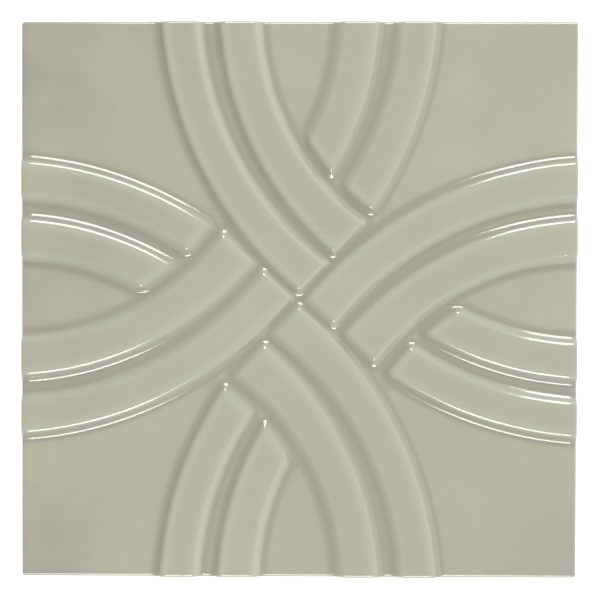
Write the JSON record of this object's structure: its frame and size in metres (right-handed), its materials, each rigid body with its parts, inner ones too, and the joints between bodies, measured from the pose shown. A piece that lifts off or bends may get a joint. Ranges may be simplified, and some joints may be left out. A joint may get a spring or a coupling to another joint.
{
  "type": "relief wall tile",
  "caption": "Square glazed ceramic wall tile with a raised basket-weave relief of curved ribbon pairs that cross over and under at the centre",
  "frame": {"origin": "centre of the flat back face, which the tile lies on", "axes": "+Z points out of the glazed face; +X and +Y run along two sides of the square; the ribbon pair that starts left of the middle of the +Y side runs over its neighbour to the centre"},
  "size_m": [0.1524, 0.1524, 0.0099],
  "materials": {
    "sage_glaze": "glossy sage-grey glaze, thinner and paler on the ribbon shoulders, pooled darker in the grooves"
  },
  "bodies": {
    "root": {"relief_tile": "sage_glaze"}
  },
  "joints": []
}
